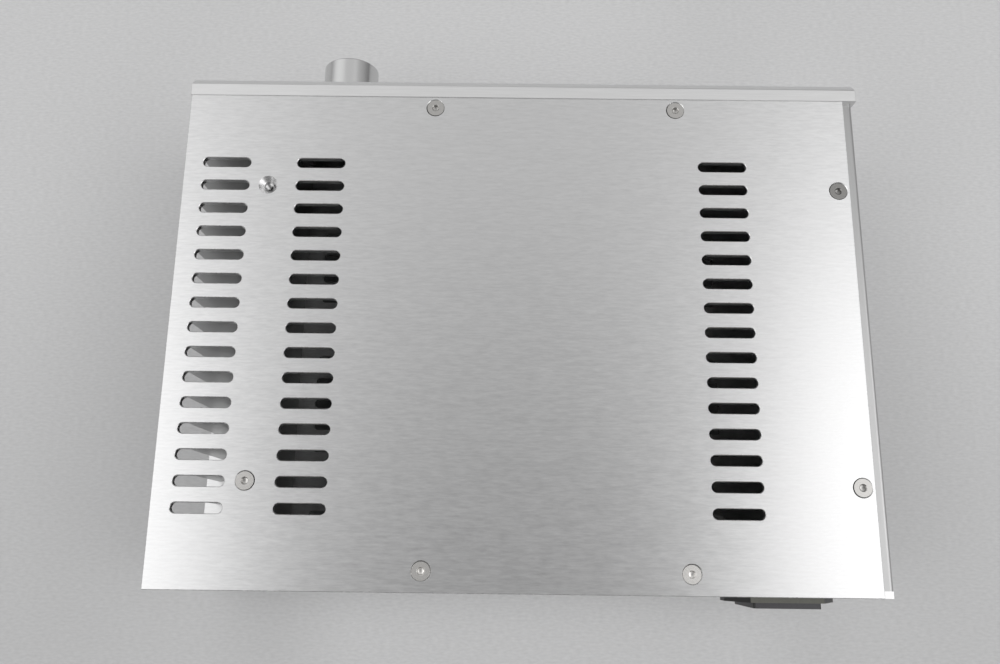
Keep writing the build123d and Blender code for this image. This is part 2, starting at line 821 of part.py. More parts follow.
def fuse_caps():
    """Metal end caps of the glass fuse."""
    cap = Cylinder(fuse_cap_diameter / 2, fuse_cap_length)
    offset = (fuse_length - fuse_cap_length) / 2
    return [inlet_face * fuse_place() * Pos(0, 0, way * offset) * cap for way in (-1, 1)]


def fuse_glass():
    """Glass between the caps."""
    glass = Cylinder(fuse_glass_diameter / 2, fuse_length - 2 * fuse_cap_length)
    return inlet_face * fuse_place() * glass


os.makedirs("parts", exist_ok=True)
top_places = [place for place in plate_screw_places if place != missing_screw_place]
save("top_cover", top_cover())
save("bottom_plate", bottom_plate())
save("top_cover_screws", *plate_screws(top_z, UP, top_places))
save("bottom_plate_screws", *plate_screws(bottom_z, DOWN, plate_screw_places))
save("heatsink", heatsink())
save("front_panel", front_panel())
save("rear_panel", rear_panel())
save("side_panel", side_panel())
for upper, level in enumerate(("lower", "upper")):
    save(f"front_{level}_rail", front_rail_bar(upper))
    save(f"rear_{level}_rail", rear_rail_bar(upper))
    save(f"side_{level}_rail", side_rail_bar(upper))
save("front_rail_screws", *rail_screws())
save("rear_panel_screws", *rear_screws())
save("side_panel_screws", *side_panel_screws())
save("corner_brackets", *corner_brackets())
save("bracket_screws", *bracket_screws())
save("feet", *feet())
save("foot_pads", *foot_pads())
save("foot_screws", *foot_screws())
save("foot_nuts", *foot_nuts())
save("volume_knob", knob())
save("knob_set_screw", knob_set_screw())
save("pot_body", pot_body())
save("pot_terminals", *pot_terminals())
save("pot_shaft", pot_shaft())
save("pot_washer", pot_washer())
save("pot_nut", pot_nut())
save("inlet_housing", inlet_housing())
save("inlet_pins", *inlet_pins())
save("inlet_screws", *inlet_screws())
save("inlet_nuts", *inlet_nuts())
save("fuse_drawer", fuse_drawer())
save("fuse_caps", *fuse_caps())
save("fuse_glass", fuse_glass())
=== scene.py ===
import math
import bpy
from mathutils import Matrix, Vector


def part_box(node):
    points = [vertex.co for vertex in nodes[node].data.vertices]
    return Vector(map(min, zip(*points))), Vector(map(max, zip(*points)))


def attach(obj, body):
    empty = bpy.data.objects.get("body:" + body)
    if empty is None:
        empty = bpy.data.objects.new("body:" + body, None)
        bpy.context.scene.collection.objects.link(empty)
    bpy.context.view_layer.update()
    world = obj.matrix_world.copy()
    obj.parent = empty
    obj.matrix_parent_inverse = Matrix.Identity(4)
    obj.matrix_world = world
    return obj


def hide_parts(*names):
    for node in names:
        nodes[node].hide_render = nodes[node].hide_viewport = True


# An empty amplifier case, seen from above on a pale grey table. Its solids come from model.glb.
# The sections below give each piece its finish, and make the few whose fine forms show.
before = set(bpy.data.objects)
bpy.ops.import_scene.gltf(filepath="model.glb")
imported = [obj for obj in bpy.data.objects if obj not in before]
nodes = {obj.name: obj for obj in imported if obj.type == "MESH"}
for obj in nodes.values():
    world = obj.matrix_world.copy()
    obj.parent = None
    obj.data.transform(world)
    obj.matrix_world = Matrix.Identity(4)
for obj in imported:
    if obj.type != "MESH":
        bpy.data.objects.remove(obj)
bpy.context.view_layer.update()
bpy.ops.object.select_all(action="DESELECT")

# Camera: held over the back of the case and tipped towards the front panel, as in the
# photograph. Its place is given from the seam behind the front panel and the cover's upper side.
seam_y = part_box("top_cover")[0].y
cover_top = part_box("top_cover")[1].z
off_centre, behind_seam, above_cover = 0.00809, 0.2103, 0.38915
tip, roll, swing = 0.238512, 0.000978, 0.01229
bpy.ops.object.camera_add(
    location=(off_centre, seam_y + behind_seam, cover_top + above_cover),
    rotation=(tip, roll, swing + math.pi),
)
camera = bpy.context.object
camera.name = "camera"
camera.data.lens = 32.04
camera.data.sensor_width = 36.0
camera.data.dof.use_dof = False
bpy.context.scene.camera = camera
bpy.context.scene.view_settings.view_transform = "Standard"

# Table: a flat top under a matt grey cloth of fine weave, a plain stage for the case. Painted
# light makes the cloth paler towards the front, and painted light and shade lie round the case and
# under it.
bpy.ops.mesh.primitive_plane_add(size=6.0, location=(0, 0, 0))
table = bpy.context.object
table.name = "table"
cloth = bpy.data.materials.new("table_cloth")
cloth.use_nodes = True
tree = cloth.node_tree
cloth_shader = tree.nodes["Principled BSDF"]
cloth_shader.inputs["Roughness"].default_value = 0.85
spot = tree.nodes.new("ShaderNodeTexCoord")
weave = tree.nodes.new("ShaderNodeMapping")
weave.inputs["Scale"].default_value = (330.0, 900.0, 1.0)
fibre = tree.nodes.new("ShaderNodeTexNoise")
fibre.inputs["Scale"].default_value = 1.0
fibre.inputs["Detail"].default_value = 3.0
yarn = tree.nodes.new("ShaderNodeMix")
yarn.data_type = "RGBA"
yarn.inputs["A"].default_value = (0.493, 0.493, 0.496, 1)
yarn.inputs["B"].default_value = (0.662, 0.662, 0.665, 1)
places = tree.nodes.new("ShaderNodeSeparateXYZ")
# Painted light: this factor makes the cloth paler towards the front.
painted_light_front_to_back = tree.nodes.new("ShaderNodeMapRange")
painted_light_front_to_back.inputs["From Min"].default_value = -0.08
painted_light_front_to_back.inputs["From Max"].default_value = 0.16
painted_light_front_to_back.inputs["To Min"].default_value = 1.03
painted_light_front_to_back.inputs["To Max"].default_value = 0.82
tree.links.new(spot.outputs["Object"], weave.inputs["Vector"])
tree.links.new(weave.outputs["Vector"], fibre.inputs["Vector"])
tree.links.new(fibre.outputs["Fac"], yarn.inputs["Factor"])
tree.links.new(spot.outputs["Object"], places.inputs[0])
tree.links.new(places.outputs["Y"], painted_light_front_to_back.inputs["Value"])


def scaled(colour, amount):
    """A colour times a value that changes over the table."""
    shade = tree.nodes.new("ShaderNodeVectorMath")
    shade.operation = "SCALE"
    tree.links.new(colour, shade.inputs[0])
    tree.links.new(amount, shade.inputs["Scale"])
    return shade.outputs["Vector"]


def near(middle, half, reach, most):
    """Painted light or shade on the table: a factor, most inside a rectangle, that fades to 1 at
    reach outside.
    """
    value = spot.outputs["Object"]
    for operation, other in (
        ("SUBTRACT", middle), ("ABSOLUTE", None), ("SUBTRACT", half),
        ("MAXIMUM", (0, 0, 0)), ("MULTIPLY", (1, 1, 0)), ("LENGTH", None),
    ):
        step = tree.nodes.new("ShaderNodeVectorMath")
        step.operation = operation
        tree.links.new(value, step.inputs[0])
        if other:
            step.inputs[1].default_value = other
        value = step.outputs["Value"] if operation == "LENGTH" else step.outputs["Vector"]
    fade = tree.nodes.new("ShaderNodeMapRange")
    fade.interpolation_type = "SMOOTHSTEP"
    fade.inputs["From Min"].default_value = 0.0
    fade.inputs["From Max"].default_value = reach
    fade.inputs["To Min"].default_value = most
    fade.inputs["To Max"].default_value = 1.0
    tree.links.new(value, fade.inputs["Value"])
    return fade.outputs["Result"]


# Each row is a rectangle's middle and half size, how far it reaches, and its factor: painted light
# all round the case, behind it, in front of it and beside the side panel, and painted shade under
# it.
colour = scaled(yarn.outputs["Result"], painted_light_front_to_back.outputs["Result"])
for middle, half, reach, most in (
    ((0, 0, 0), (0.155, 0.125, 0), 0.09, 1.10),
    ((-0.015, 0.135, 0), (0.09, 0.01, 0), 0.06, 1.20),
    ((0.03, -0.17, 0), (0.06, 0.02, 0), 0.10, 1.06),
    ((-0.26, 0.08, 0), (0.06, 0.10, 0), 0.12, 1.06),
    ((0, 0, 0), (0.10, 0.08, 0), 0.04, 0.30),
):
    colour = scaled(colour, near(middle, half, reach, most))
tree.links.new(colour, cloth_shader.inputs["Base Color"])
table.data.materials.append(cloth)


# Lamps: a large soft box to each side of the case, which the cover mirrors as pale bands, and a
# third one behind that only fills the shade on the table.
def soft_box(name, place, aim, width, depth, watts):
    """A rectangular area lamp that looks at a point."""
    bpy.ops.object.light_add(type="AREA", location=place)
    lamp = bpy.context.object
    lamp.name = name
    lamp.data.shape = "RECTANGLE"
    lamp.data.size = width
    lamp.data.size_y = depth
    lamp.data.energy = watts
    look = [aim[i] - place[i] for i in range(3)]
    flat = math.hypot(look[0], look[1])
    lamp.rotation_euler = (
        math.atan2(flat, -look[2]), 0, math.atan2(look[1], look[0]) - math.pi / 2,
    )
    return lamp


soft_box(
    "soft_box_left", place=(1.02, 0.2, 1.05), aim=(0.1, 0, 0), width=1.2, depth=1.2, watts=4.6,
)
soft_box(
    "soft_box_right", place=(-0.95, 0.18, 1.05), aim=(-0.1, 0, 0), width=1.1, depth=1.2, watts=4.4,
)
for_table = soft_box(
    "fill_on_the_table", place=(0.0, 1.1, 0.8), aim=(0, 0.1, 0), width=1.6, depth=1.0, watts=4.0,
)
for_table.visible_glossy = False

# Room: a pale ceiling and walls, darker straight above, where the camera hangs, and near the
# horizon. Each row gives a direction, the cosines between which its change sets in, and the
# room's level outside and inside it.
world = bpy.data.worlds.new("ceiling")
bpy.context.scene.world = world
world.use_nodes = True
tree = world.node_tree
way_up = tree.nodes.new("ShaderNodeTexCoord")
tree.nodes["Background"].inputs["Color"].default_value = (1, 1, 1, 1)
room_level = None
for name, direction, starts, full, outside, inside in (
    ("above_camera", (0.0, 0.20, 0.9798), 0.83, 1.0, 0.712, 0.19),
    ("near_horizon", (0, 0, 1), 0.55, 0.0, 1.0, 0.44),
    ("behind_photographer", (0, 1, 0), 0.40, 0.80, 1.0, 0.22),
    ("window_ahead_left", (0.76, -0.50, 0.42), 0.84, 1.0, 1.0, 1.10),
    ("dark_ahead_right", (-0.68, -0.68, 0.27), 0.70, 0.97, 1.0, 0.50),
    ("wall_left", (0.9, 0.44, 0), 0.0, 0.14, 1.0, 1.26),
    ("wall_right", (-0.9, 0.44, 0), 0.0, 0.14, 1.0, 1.18),
    ("far_right", (-1, 0, 0), 0.16, 0.32, 1.0, 1.10),
):
    along = tree.nodes.new("ShaderNodeVectorMath")
    along.operation = "DOT_PRODUCT"
    along.inputs[1].default_value = direction
    change = tree.nodes.new("ShaderNodeMapRange")
    change.name = name
    change.interpolation_type = "SMOOTHSTEP"
    change.inputs["From Min"].default_value = starts
    change.inputs["From Max"].default_value = full
    change.inputs["To Min"].default_value = outside
    change.inputs["To Max"].default_value = inside
    tree.links.new(way_up.outputs["Generated"], along.inputs[0])
    tree.links.new(along.outputs["Value"], change.inputs["Value"])
    if room_level is None:
        room_level = change.outputs["Result"]
        continue
    both = tree.nodes.new("ShaderNodeMath")
    both.operation = "MULTIPLY"
    tree.links.new(room_level, both.inputs[0])
    tree.links.new(change.outputs["Result"], both.inputs[1])
    room_level = both.outputs[0]
tree.links.new(room_level, tree.nodes["Background"].inputs["Strength"])


# Front panel: thick aluminium plate, its long front edges milled to a bevel, its face brushed
# along its length and anodised clear. Four cap screws and the angle brackets hold it from behind.
def add_socket(group, name, kind, way, value=None):
    """One named socket of a shader group."""
    socket = group.interface.new_socket(name=name, in_out=way, socket_type=kind)
    if value is not None:
        socket.default_value = value


def brushed_lines_group():
    """Fine scratches drawn out along one axis: a tone from 0 to 1 and a bump normal."""
    scratch_depth = 0.00006
    group = bpy.data.node_groups.new("brushed_lines", "ShaderNodeTree")
    add_socket(group, "Stretch", "NodeSocketVector", "INPUT", (9.0, 700.0, 700.0))
    add_socket(group, "Bump", "NodeSocketFloat", "INPUT", 0.2)
    add_socket(group, "Tone", "NodeSocketFloat", "OUTPUT")
    add_socket(group, "Normal", "NodeSocketVector", "OUTPUT")
    entry = group.nodes.new("NodeGroupInput")
    leave = group.nodes.new("NodeGroupOutput")
    place = group.nodes.new("ShaderNodeTexCoord")
    drawn = group.nodes.new("ShaderNodeVectorMath")
    drawn.operation = "MULTIPLY"
    noise = group.nodes.new("ShaderNodeTexNoise")
    noise.inputs["Scale"].default_value = 1.0
    noise.inputs["Detail"].default_value = 4.0
    noise.inputs["Roughness"].default_value = 0.68
    bump = group.nodes.new("ShaderNodeBump")
    bump.inputs["Distance"].default_value = scratch_depth
    group.links.new(place.outputs["Object"], drawn.inputs[0])
    group.links.new(entry.outputs["Stretch"], drawn.inputs[1])
    group.links.new(drawn.outputs["Vector"], noise.inputs["Vector"])
    group.links.new(noise.outputs["Fac"], leave.inputs["Tone"])
    group.links.new(noise.outputs["Fac"], bump.inputs["Height"])
    group.links.new(entry.outputs["Bump"], bump.inputs["Strength"])
    group.links.new(bump.outputs["Normal"], leave.inputs["Normal"])
    return group


brushed_lines = brushed_lines_group()


def grey(value):
    """A colour with no tint."""
    return (value, value, value)


def metal(
    name, dark, light, rough, lines_values, pattern=brushed_lines,
    edge=None, marks=None, edge_gloss=1.0, across=None,
):
    """A metal whose colour, gloss and relief follow its tool marks.

    Where the group marks puts out white, it takes the colour edge, and its roughness is times
    edge_gloss. On cut edges that colour is the metal's own; on the heatsink's inner face it is
    painted shade. Its reflections blur along the direction across, if one is given.
    """
    low_tone, high_tone = 0.3, 0.7
    made = bpy.data.materials.new(name)
    made.use_nodes = True
    tree = made.node_tree
    shader = tree.nodes["Principled BSDF"]
    shader.inputs["Metallic"].default_value = 1.0
    if across:
        shader.inputs["Anisotropic"].default_value = 0.75
        blur = tree.nodes.new("ShaderNodeCombineXYZ")
        for axis, value in zip("XYZ", across):
            blur.inputs[axis].default_value = value
        tree.links.new(blur.outputs["Vector"], shader.inputs["Tangent"])
    lines = tree.nodes.new("ShaderNodeGroup")
    lines.node_tree = pattern
    for socket, value in lines_values.items():
        lines.inputs[socket].default_value = value
    tint = tree.nodes.new("ShaderNodeMix")
    tint.data_type = "RGBA"
    tint.inputs["A"].default_value = (*dark, 1)
    tint.inputs["B"].default_value = (*light, 1)
    gloss = tree.nodes.new("ShaderNodeMapRange")
    gloss.inputs["From Min"].default_value = low_tone
    gloss.inputs["From Max"].default_value = high_tone
    gloss.inputs["To Min"].default_value = rough[0]
    gloss.inputs["To Max"].default_value = rough[1]
    tree.links.new(lines.outputs["Tone"], tint.inputs["Factor"])
    tree.links.new(lines.outputs["Tone"], gloss.inputs["Value"])
    tree.links.new(gloss.outputs["Result"], shader.inputs["Roughness"])
    tree.links.new(lines.outputs["Normal"], shader.inputs["Normal"])
    colour = tint.outputs["Result"]
    if edge:
        mask = tree.nodes.new("ShaderNodeGroup")
        mask.node_tree = marks
        cut_metal = tree.nodes.new("ShaderNodeMix")
        cut_metal.data_type = "RGBA"
        cut_metal.inputs["B"].default_value = (*edge, 1)
        tree.links.new(mask.outputs["Mask"], cut_metal.inputs["Factor"])
        tree.links.new(colour, cut_metal.inputs["A"])
        colour = cut_metal.outputs["Result"]
        part = tree.nodes.new("ShaderNodeMapRange")
        part.inputs["To Min"].default_value = 1.0
        part.inputs["To Max"].default_value = edge_gloss
        less = tree.nodes.new("ShaderNodeMath")
        less.operation = "MULTIPLY"
        tree.links.new(mask.outputs["Mask"], part.inputs["Value"])
        tree.links.new(gloss.outputs["Result"], less.inputs[0])
        tree.links.new(part.outputs["Result"], less.inputs[1])
        tree.links.new(less.outputs[0], shader.inputs["Roughness"])
    tree.links.new(colour, shader.inputs["Base Color"])
    return made


def dress(node, material):
    """Gives a CAD node its finish."""
    data = nodes[node].data
    data.materials.clear()
    data.materials.append(material)


along_x = {"Stretch": (40.0, 1500.0, 1500.0), "Bump": 0.10}
brushed_panel = metal("brushed_panel", grey(0.70), grey(0.90), (0.30, 0.40), along_x)
dress("front_panel", brushed_panel)


# Heatsink: one aluminium extrusion, base and fins, sawn to the height of the case and anodised
# clear, with fine drawing lines up the fins. Its flat inner face, where transistors would be
# bolted, is painted dark as painted shade for the inside of the case.
def painted_shade_inner_face_group():
    """White on the faces that look into the case, where the heatsink takes painted shade."""
    inwards_limit = -0.9
    group = bpy.data.node_groups.new("inner_face", "ShaderNodeTree")
    add_socket(group, "Mask", "NodeSocketFloat", "OUTPUT")
    leave = group.nodes.new("NodeGroupOutput")
    facing = group.nodes.new("ShaderNodeNewGeometry")
    parts = group.nodes.new("ShaderNodeSeparateXYZ")
    inwards = group.nodes.new("ShaderNodeMath")
    inwards.operation = "LESS_THAN"
    inwards.inputs[1].default_value = inwards_limit
    group.links.new(facing.outputs["True Normal"], parts.inputs[0])
    group.links.new(parts.outputs["X"], inwards.inputs[0])
    group.links.new(inwards.outputs[0], leave.inputs["Mask"])
    return group


along_z = {"Stretch": (1500.0, 1500.0, 22.0), "Bump": 0.12}
# The inner face's dark colour below is painted shade for the inside of the case.
drawn_sink = metal(
    "drawn_sink", grey(0.42), grey(0.54), (0.34, 0.46), along_z,
    edge=grey(0.25), marks=painted_shade_inner_face_group(),
)
dress("heatsink", drawn_sink)

# Side panel: flat aluminium bar with two rounded edges, brushed along its length and anodised
# clear. Four countersunk screws through it hold it to the long rails.
along_y = {"Stretch": (1500.0, 40.0, 1500.0), "Bump": 0.10}
brushed_side = metal("brushed_side", grey(0.42), grey(0.54), (0.34, 0.44), along_y)
dress("side_panel", brushed_side)


# Rear panel: thin plate behind case and heatsink, cut out for the inlet and drilled for the
# signal and loudspeaker sockets, which aren't fitted. Six small countersunk screws hold it.
def cut_edges_group():
    """White where a face is a bevel, round or countersink, whose metal was cut last."""
    square_limit = 0.93
    group = bpy.data.node_groups.new("cut_edges", "ShaderNodeTree")
    add_socket(group, "Mask", "NodeSocketFloat", "OUTPUT")
    leave = group.nodes.new("NodeGroupOutput")
    facing = group.nodes.new("ShaderNodeNewGeometry")
    parts = group.nodes.new("ShaderNodeSeparateXYZ")
    group.links.new(facing.outputs["True Normal"], parts.inputs[0])
    largest = None
    for axis in "XYZ":
        size = group.nodes.new("ShaderNodeMath")
        size.operation = "ABSOLUTE"
        group.links.new(parts.outputs[axis], size.inputs[0])
        if largest is None:
            largest = size
            continue
        more = group.nodes.new("ShaderNodeMath")
        more.operation = "MAXIMUM"
        group.links.new(largest.outputs[0], more.inputs[0])
        group.links.new(size.outputs[0], more.inputs[1])
        largest = more
    slanted = group.nodes.new("ShaderNodeMath")
    slanted.operation = "LESS_THAN"
    slanted.inputs[1].default_value = square_limit
    group.links.new(largest.outputs[0], slanted.inputs[0])
    group.links.new(slanted.outputs[0], leave.inputs["Mask"])
    return group


cut_edges = cut_edges_group()
brushed_rear = metal(
    "brushed_rear", grey(0.68), grey(0.84), (0.30, 0.40), along_x,
    edge=grey(0.9), marks=cut_edges,
)
dress("rear_panel", brushed_rear)

# Rails and corner brackets: drawn square bar and angle of plain aluminium, sawn to length,
# drilled and tapped. Hidden in the case, they take the screws of the plates and panels.
plain_cross_bar = metal("plain_cross_bar", grey(0.52), grey(0.66), (0.38, 0.52), along_x)
plain_long_bar = metal("plain_long_bar", grey(0.52), grey(0.66), (0.38, 0.52), along_y)
plain_angle = metal("plain_angle", grey(0.50), grey(0.64), (0.38, 0.52), along_z)
for row in ("upper", "lower"):
    dress(f"front_{row}_rail", plain_cross_bar)
    dress(f"rear_{row}_rail", plain_cross_bar)
    dress(f"side_{row}_rail", plain_long_bar)
dress("corner_brackets", plain_angle)

# Plates: two 3 mm aluminium sheets with the same milled vents, brushed across the case and
# anodised clear. The broken edges of their vents and holes are a little glossier than the face.
brushed_plate = metal(
    "brushed_plate", (0.64, 0.64, 0.642), (0.95, 0.95, 0.952), (0.30, 0.38),
    {"Stretch": (170.0, 1050.0, 1050.0), "Bump": 0.06},
    edge=grey(0.76), marks=cut_edges, edge_gloss=0.8, across=(0, 1, 0),
)
dress("top_cover", brushed_plate)
dress("bottom_plate", brushed_plate)


# Cover screws: M4 by 10 mm, countersunk, of stainless steel. The head is turned and broached for a
# hexagon key; its rim and the cone under it are painted dark, as painted shade in the gap round
# the head. Each has its own turn and brightness, partly its own sheen and partly painted light and
# shade, and sits a little to one side of its hole. The one at the front of the heatsink is
# missing.
def pick_faces(piece, suits):
    """Opens a piece in edit mode with only the faces that suit selected."""
    bpy.ops.object.mode_set(mode="EDIT")
    bpy.ops.mesh.select_mode(type="FACE")
    bpy.ops.mesh.select_all(action="DESELECT")
    bpy.ops.object.mode_set(mode="OBJECT")
    for face in piece.data.polygons:
        face.select = suits(face)
    bpy.ops.object.mode_set(mode="EDIT")


def draw_down(depth, widen):
    """Extrudes the picked faces downwards and makes them wider or narrower."""
    bpy.ops.mesh.extrude_region_move(TRANSFORM_OT_translate={"value": (0, 0, -depth)})
    bpy.ops.transform.resize(value=(widen, widen, 1), center_override=(0, 0, 0))


def work_on(piece):
    """Makes a piece the only selected and active one."""
    bpy.ops.object.select_all(action="DESELECT")
    bpy.context.view_layer.objects.active = piece
    piece.select_set(True)


def cut_away(piece, cutter):
    """Takes the shape of a cutter out of a piece."""
    work_on(piece)
    hole = piece.modifiers.new("hole", "BOOLEAN")
    hole.object = cutter
    hole.solver = "EXACT"
    bpy.ops.object.modifier_apply(modifier="hole")
    bpy.data.objects.remove(cutter)


def settle(piece, place, turn):
    """Puts a piece in its place, with the place in its mesh and its origin at the world's."""
    work_on(piece)
    piece.location = place
    piece.rotation_euler = turn
    bpy.ops.object.transform_apply(location=True, rotation=True, scale=True)


def soften(piece, width, segments, angle):
    """Rounds the sharp edges of a piece. Its flat faces stay flat and its round ones smooth."""
    work_on(piece)
    bpy.ops.object.shade_smooth_by_angle(angle=math.radians(angle))
    edge = piece.modifiers.new("edge", "BEVEL")
    edge.width = width
    edge.segments = segments
    edge.limit_method = "ANGLE"
    edge.angle_limit = math.radians(angle)
    edge.harden_normals = True
    bpy.ops.object.modifier_apply(modifier="edge")


def turned_rings_group():
    """Fine rings round an axis, as a lathe leaves them: a tone from 0 to 1 and a bump normal."""
    groove_depth = 0.00005
    group = bpy.data.node_groups.new("turned_rings", "ShaderNodeTree")
    add_socket(group, "Centre", "NodeSocketVector", "INPUT", (0.0, 0.0, 0.0))
    add_socket(group, "Across", "NodeSocketVector", "INPUT", (1.0, 1.0, 0.0))
    add_socket(group, "Along", "NodeSocketVector", "INPUT", (0.0, 0.0, 1.0))
    add_socket(group, "Fineness", "NodeSocketFloat", "INPUT", 3000.0)
    add_socket(group, "Bump", "NodeSocketFloat", "INPUT", 0.1)
    add_socket(group, "Tone", "NodeSocketFloat", "OUTPUT")
    add_socket(group, "Normal", "NodeSocketVector", "OUTPUT")
    entry = group.nodes.new("NodeGroupInput")
    leave = group.nodes.new("NodeGroupOutput")
    place = group.nodes.new("ShaderNodeTexCoord")
    steps = {}
    for name, operation in (
        ("offset", "SUBTRACT"), ("flat", "MULTIPLY"), ("radius", "LENGTH"),
        ("height", "DOT_PRODUCT"),
    ):
        steps[name] = group.nodes.new("ShaderNodeVectorMath")
        steps[name].operation = operation
    both = group.nodes.new("ShaderNodeMath")
    fine = group.nodes.new("ShaderNodeMath")
    fine.operation = "MULTIPLY"
    noise = group.nodes.new("ShaderNodeTexNoise")
    noise.noise_dimensions = "1D"
    noise.inputs["Scale"].default_value = 1.0
    noise.inputs["Detail"].default_value = 3.0
    bump = group.nodes.new("ShaderNodeBump")
    bump.inputs["Distance"].default_value = groove_depth
    group.links.new(place.outputs["Object"], steps["offset"].inputs[0])
    group.links.new(entry.outputs["Centre"], steps["offset"].inputs[1])
    group.links.new(steps["offset"].outputs["Vector"], steps["flat"].inputs[0])
    group.links.new(entry.outputs["Across"], steps["flat"].inputs[1])
    group.links.new(steps["flat"].outputs["Vector"], steps["radius"].inputs[0])
    group.links.new(steps["offset"].outputs["Vector"], steps["height"].inputs[0])
    group.links.new(entry.outputs["Along"], steps["height"].inputs[1])
    group.links.new(steps["radius"].outputs["Value"], both.inputs[0])
    group.links.new(steps["height"].outputs["Value"], both.inputs[1])
    group.links.new(both.outputs[0], fine.inputs[0])
    group.links.new(entry.outputs["Fineness"], fine.inputs[1])
    group.links.new(fine.outputs[0], noise.inputs["W"])
    group.links.new(noise.outputs["Fac"], leave.inputs["Tone"])
    group.links.new(noise.outputs["Fac"], bump.inputs["Height"])
    group.links.new(entry.outputs["Bump"], bump.inputs["Strength"])
    group.links.new(bump.outputs["Normal"], leave.inputs["Normal"])
    return group


turned_rings = turned_rings_group()
head_radius, rim_depth, cone_depth = 0.004, 0.0004, 0.0019
shank_radius, shank_length, tip_length, tip_taper = 0.002, 0.0072, 0.0005, 0.8
key_corner, key_depth = 0.00152, 0.0015
rim_middle = (0, 0, -rim_depth / 2)
bpy.ops.mesh.primitive_cylinder_add(
    vertices=48, radius=head_radius, depth=rim_depth, location=rim_middle,
)
first_screw = bpy.context.object
settle(first_screw, rim_middle, (0, 0, 0))
pick_faces(first_screw, lambda face: face.normal.z < -0.9)
draw_down(cone_depth, shank_radius / head_radius)
draw_down(shank_length, 1.0)
draw_down(tip_length, tip_taper)
bpy.ops.object.mode_set(mode="OBJECT")
bpy.ops.mesh.primitive_cylinder_add(
    vertices=6, radius=key_corner, depth=2 * key_depth, location=(0, 0, 0),
)
cut_away(first_screw, bpy.context.object)
for facets, low_radius, high_radius, cone_height, middle_z in (
    (32, 0.00105, 0.00195, 0.0009, -0.0002),  # the chamfered mouth of the hexagon
    (24, 0.0, 0.00125, 0.0007, -0.0018),  # the drill's point under it
):
    bpy.ops.mesh.primitive_cone_add(
        vertices=facets, radius1=low_radius, radius2=high_radius, depth=cone_height,
        location=(0, 0, middle_z),
    )
    cut_away(first_screw, bpy.context.object)
soften(first_screw, width=0.00007, segments=2, angle=35)
screw_low, screw_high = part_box("top_cover_screws")
sunk, mouth_edge, rim_drop = 0.00015, 0.0021, 0.0001
head_z = cover_top - sunk
near_sink_x, near_side_x = 0.0419, -0.0729
side_x, sink_x = screw_low.x + head_radius, screw_high.x - head_radius
front_y, rear_y = screw_low.y + head_radius, screw_high.y - head_radius
flank_front_y, flank_rear_y = seam_y + 0.0459, seam_y + 0.1831
steel_dark, steel_light = (0.95, 0.93, 0.90), (1.08, 1.06, 1.03)
grainy = {"Stretch": (2600.0, 2600.0, 2600.0), "Bump": 0.03}
# Painted shade: near-black steel for the rim and the cone under the head, for the dark gap round
# it.
painted_shade_rim = metal("painted_shade_rim", grey(0.05), grey(0.11), (0.4, 0.55), grainy)

# Each row is a hole's place, the screw's turn in degrees, how far it sits aside in mm, and its
# brightness, partly its own sheen and partly painted light and shade: two at the front panel, two
# at the side panel, one on the heatsink and two at the rear.
for number, (x, y, turn, aside, sheen_and_painted_light) in enumerate((
    (near_sink_x, front_y, 30, (-0.10, -0.08), 0.50),
    (near_side_x, front_y, 32, (-0.13, -0.02), 0.52),
    (side_x, flank_front_y, 41, (0.0, 0.05), 0.28),
    (side_x, flank_rear_y, 27, (-0.13, -0.06), 0.48),
    (sink_x, flank_rear_y, -3, (0.14, 0.03), 0.56),
    (near_sink_x, rear_y, 30, (0.02, 0.10), 0.78),
    (near_side_x, rear_y, -6, (0.10, 0.10), 0.80),
), 1):
    screw_x, screw_y = x + aside[0] / 1000, y + aside[1] / 1000
    screw = first_screw.copy()
    screw.data = first_screw.data.copy()
    screw.name = f"cover_screw_{number}"
    bpy.context.collection.objects.link(screw)
    settle(screw, (screw_x, screw_y, head_z), (0, 0, math.radians(turn)))
    # Each screw's steel is scaled by its brightness, partly its own sheen and partly painted light
    # and shade.
    screw.data.materials.append(metal(
        f"screw_steel_{number}", [sheen_and_painted_light * tone for tone in steel_dark],
        [sheen_and_painted_light * tone for tone in steel_light], (0.26, 0.34),
        {"Centre": (x, y, head_z), "Fineness": 5000.0, "Bump": 0.03}, pattern=turned_rings,
    ))
    screw.data.materials.append(painted_shade_rim)
    # The rim and the cone under the head take the painted shade.
    for face in screw.data.polygons:
        out = math.hypot(face.center.x - screw_x, face.center.y - screw_y)
        if out > mouth_edge and face.center.z < head_z - rim_drop:
            face.material_index = 1
    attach(screw, "chassis")
    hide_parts("top_cover_screws")
bpy.data.objects.remove(first_screw)

# Tapped hole: the M4 thread cut in the heatsink's base, bare where a cover screw is missing. Its
# turns catch the light at the bottom of the empty countersink.
hole_x, below_top = 0.11925, 0.0004
thread_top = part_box("heatsink")[1].z - below_top
ridge, ridge_radius, pitch, turns, facets = 0.0004, 0.00183, 0.0007, 14, 32
thread_start = math.radians(160)
bpy.ops.object.select_all(action="DESELECT")
bpy.ops.mesh.primitive_circle_add(
    vertices=3, radius=ridge, fill_type="NOTHING", location=(ridge_radius, 0, 0),
    rotation=(math.pi / 2, -math.pi / 2, 0),
)
thread_turns = bpy.context.object
thread_turns.name = "sink_thread"
settle(thread_turns, thread_turns.location.copy(), thread_turns.rotation_euler.copy())
winding = thread_turns.modifiers.new("winding", "SCREW")
winding.screw_offset = -pitch
winding.iterations = turns
winding.steps = facets
winding.render_steps = facets
bpy.ops.object.modifier_apply(modifier="winding")
bpy.ops.object.mode_set(mode="EDIT")
bpy.ops.mesh.select_all(action="SELECT")
bpy.ops.mesh.fill_holes(sides=3)
bpy.ops.mesh.normals_make_consistent(inside=False)
bpy.ops.object.mode_set(mode="OBJECT")
bpy.ops.object.shade_smooth_by_angle(angle=math.radians(30))
settle(thread_turns, (hole_x, flank_front_y, thread_top), (0, 0, thread_start))
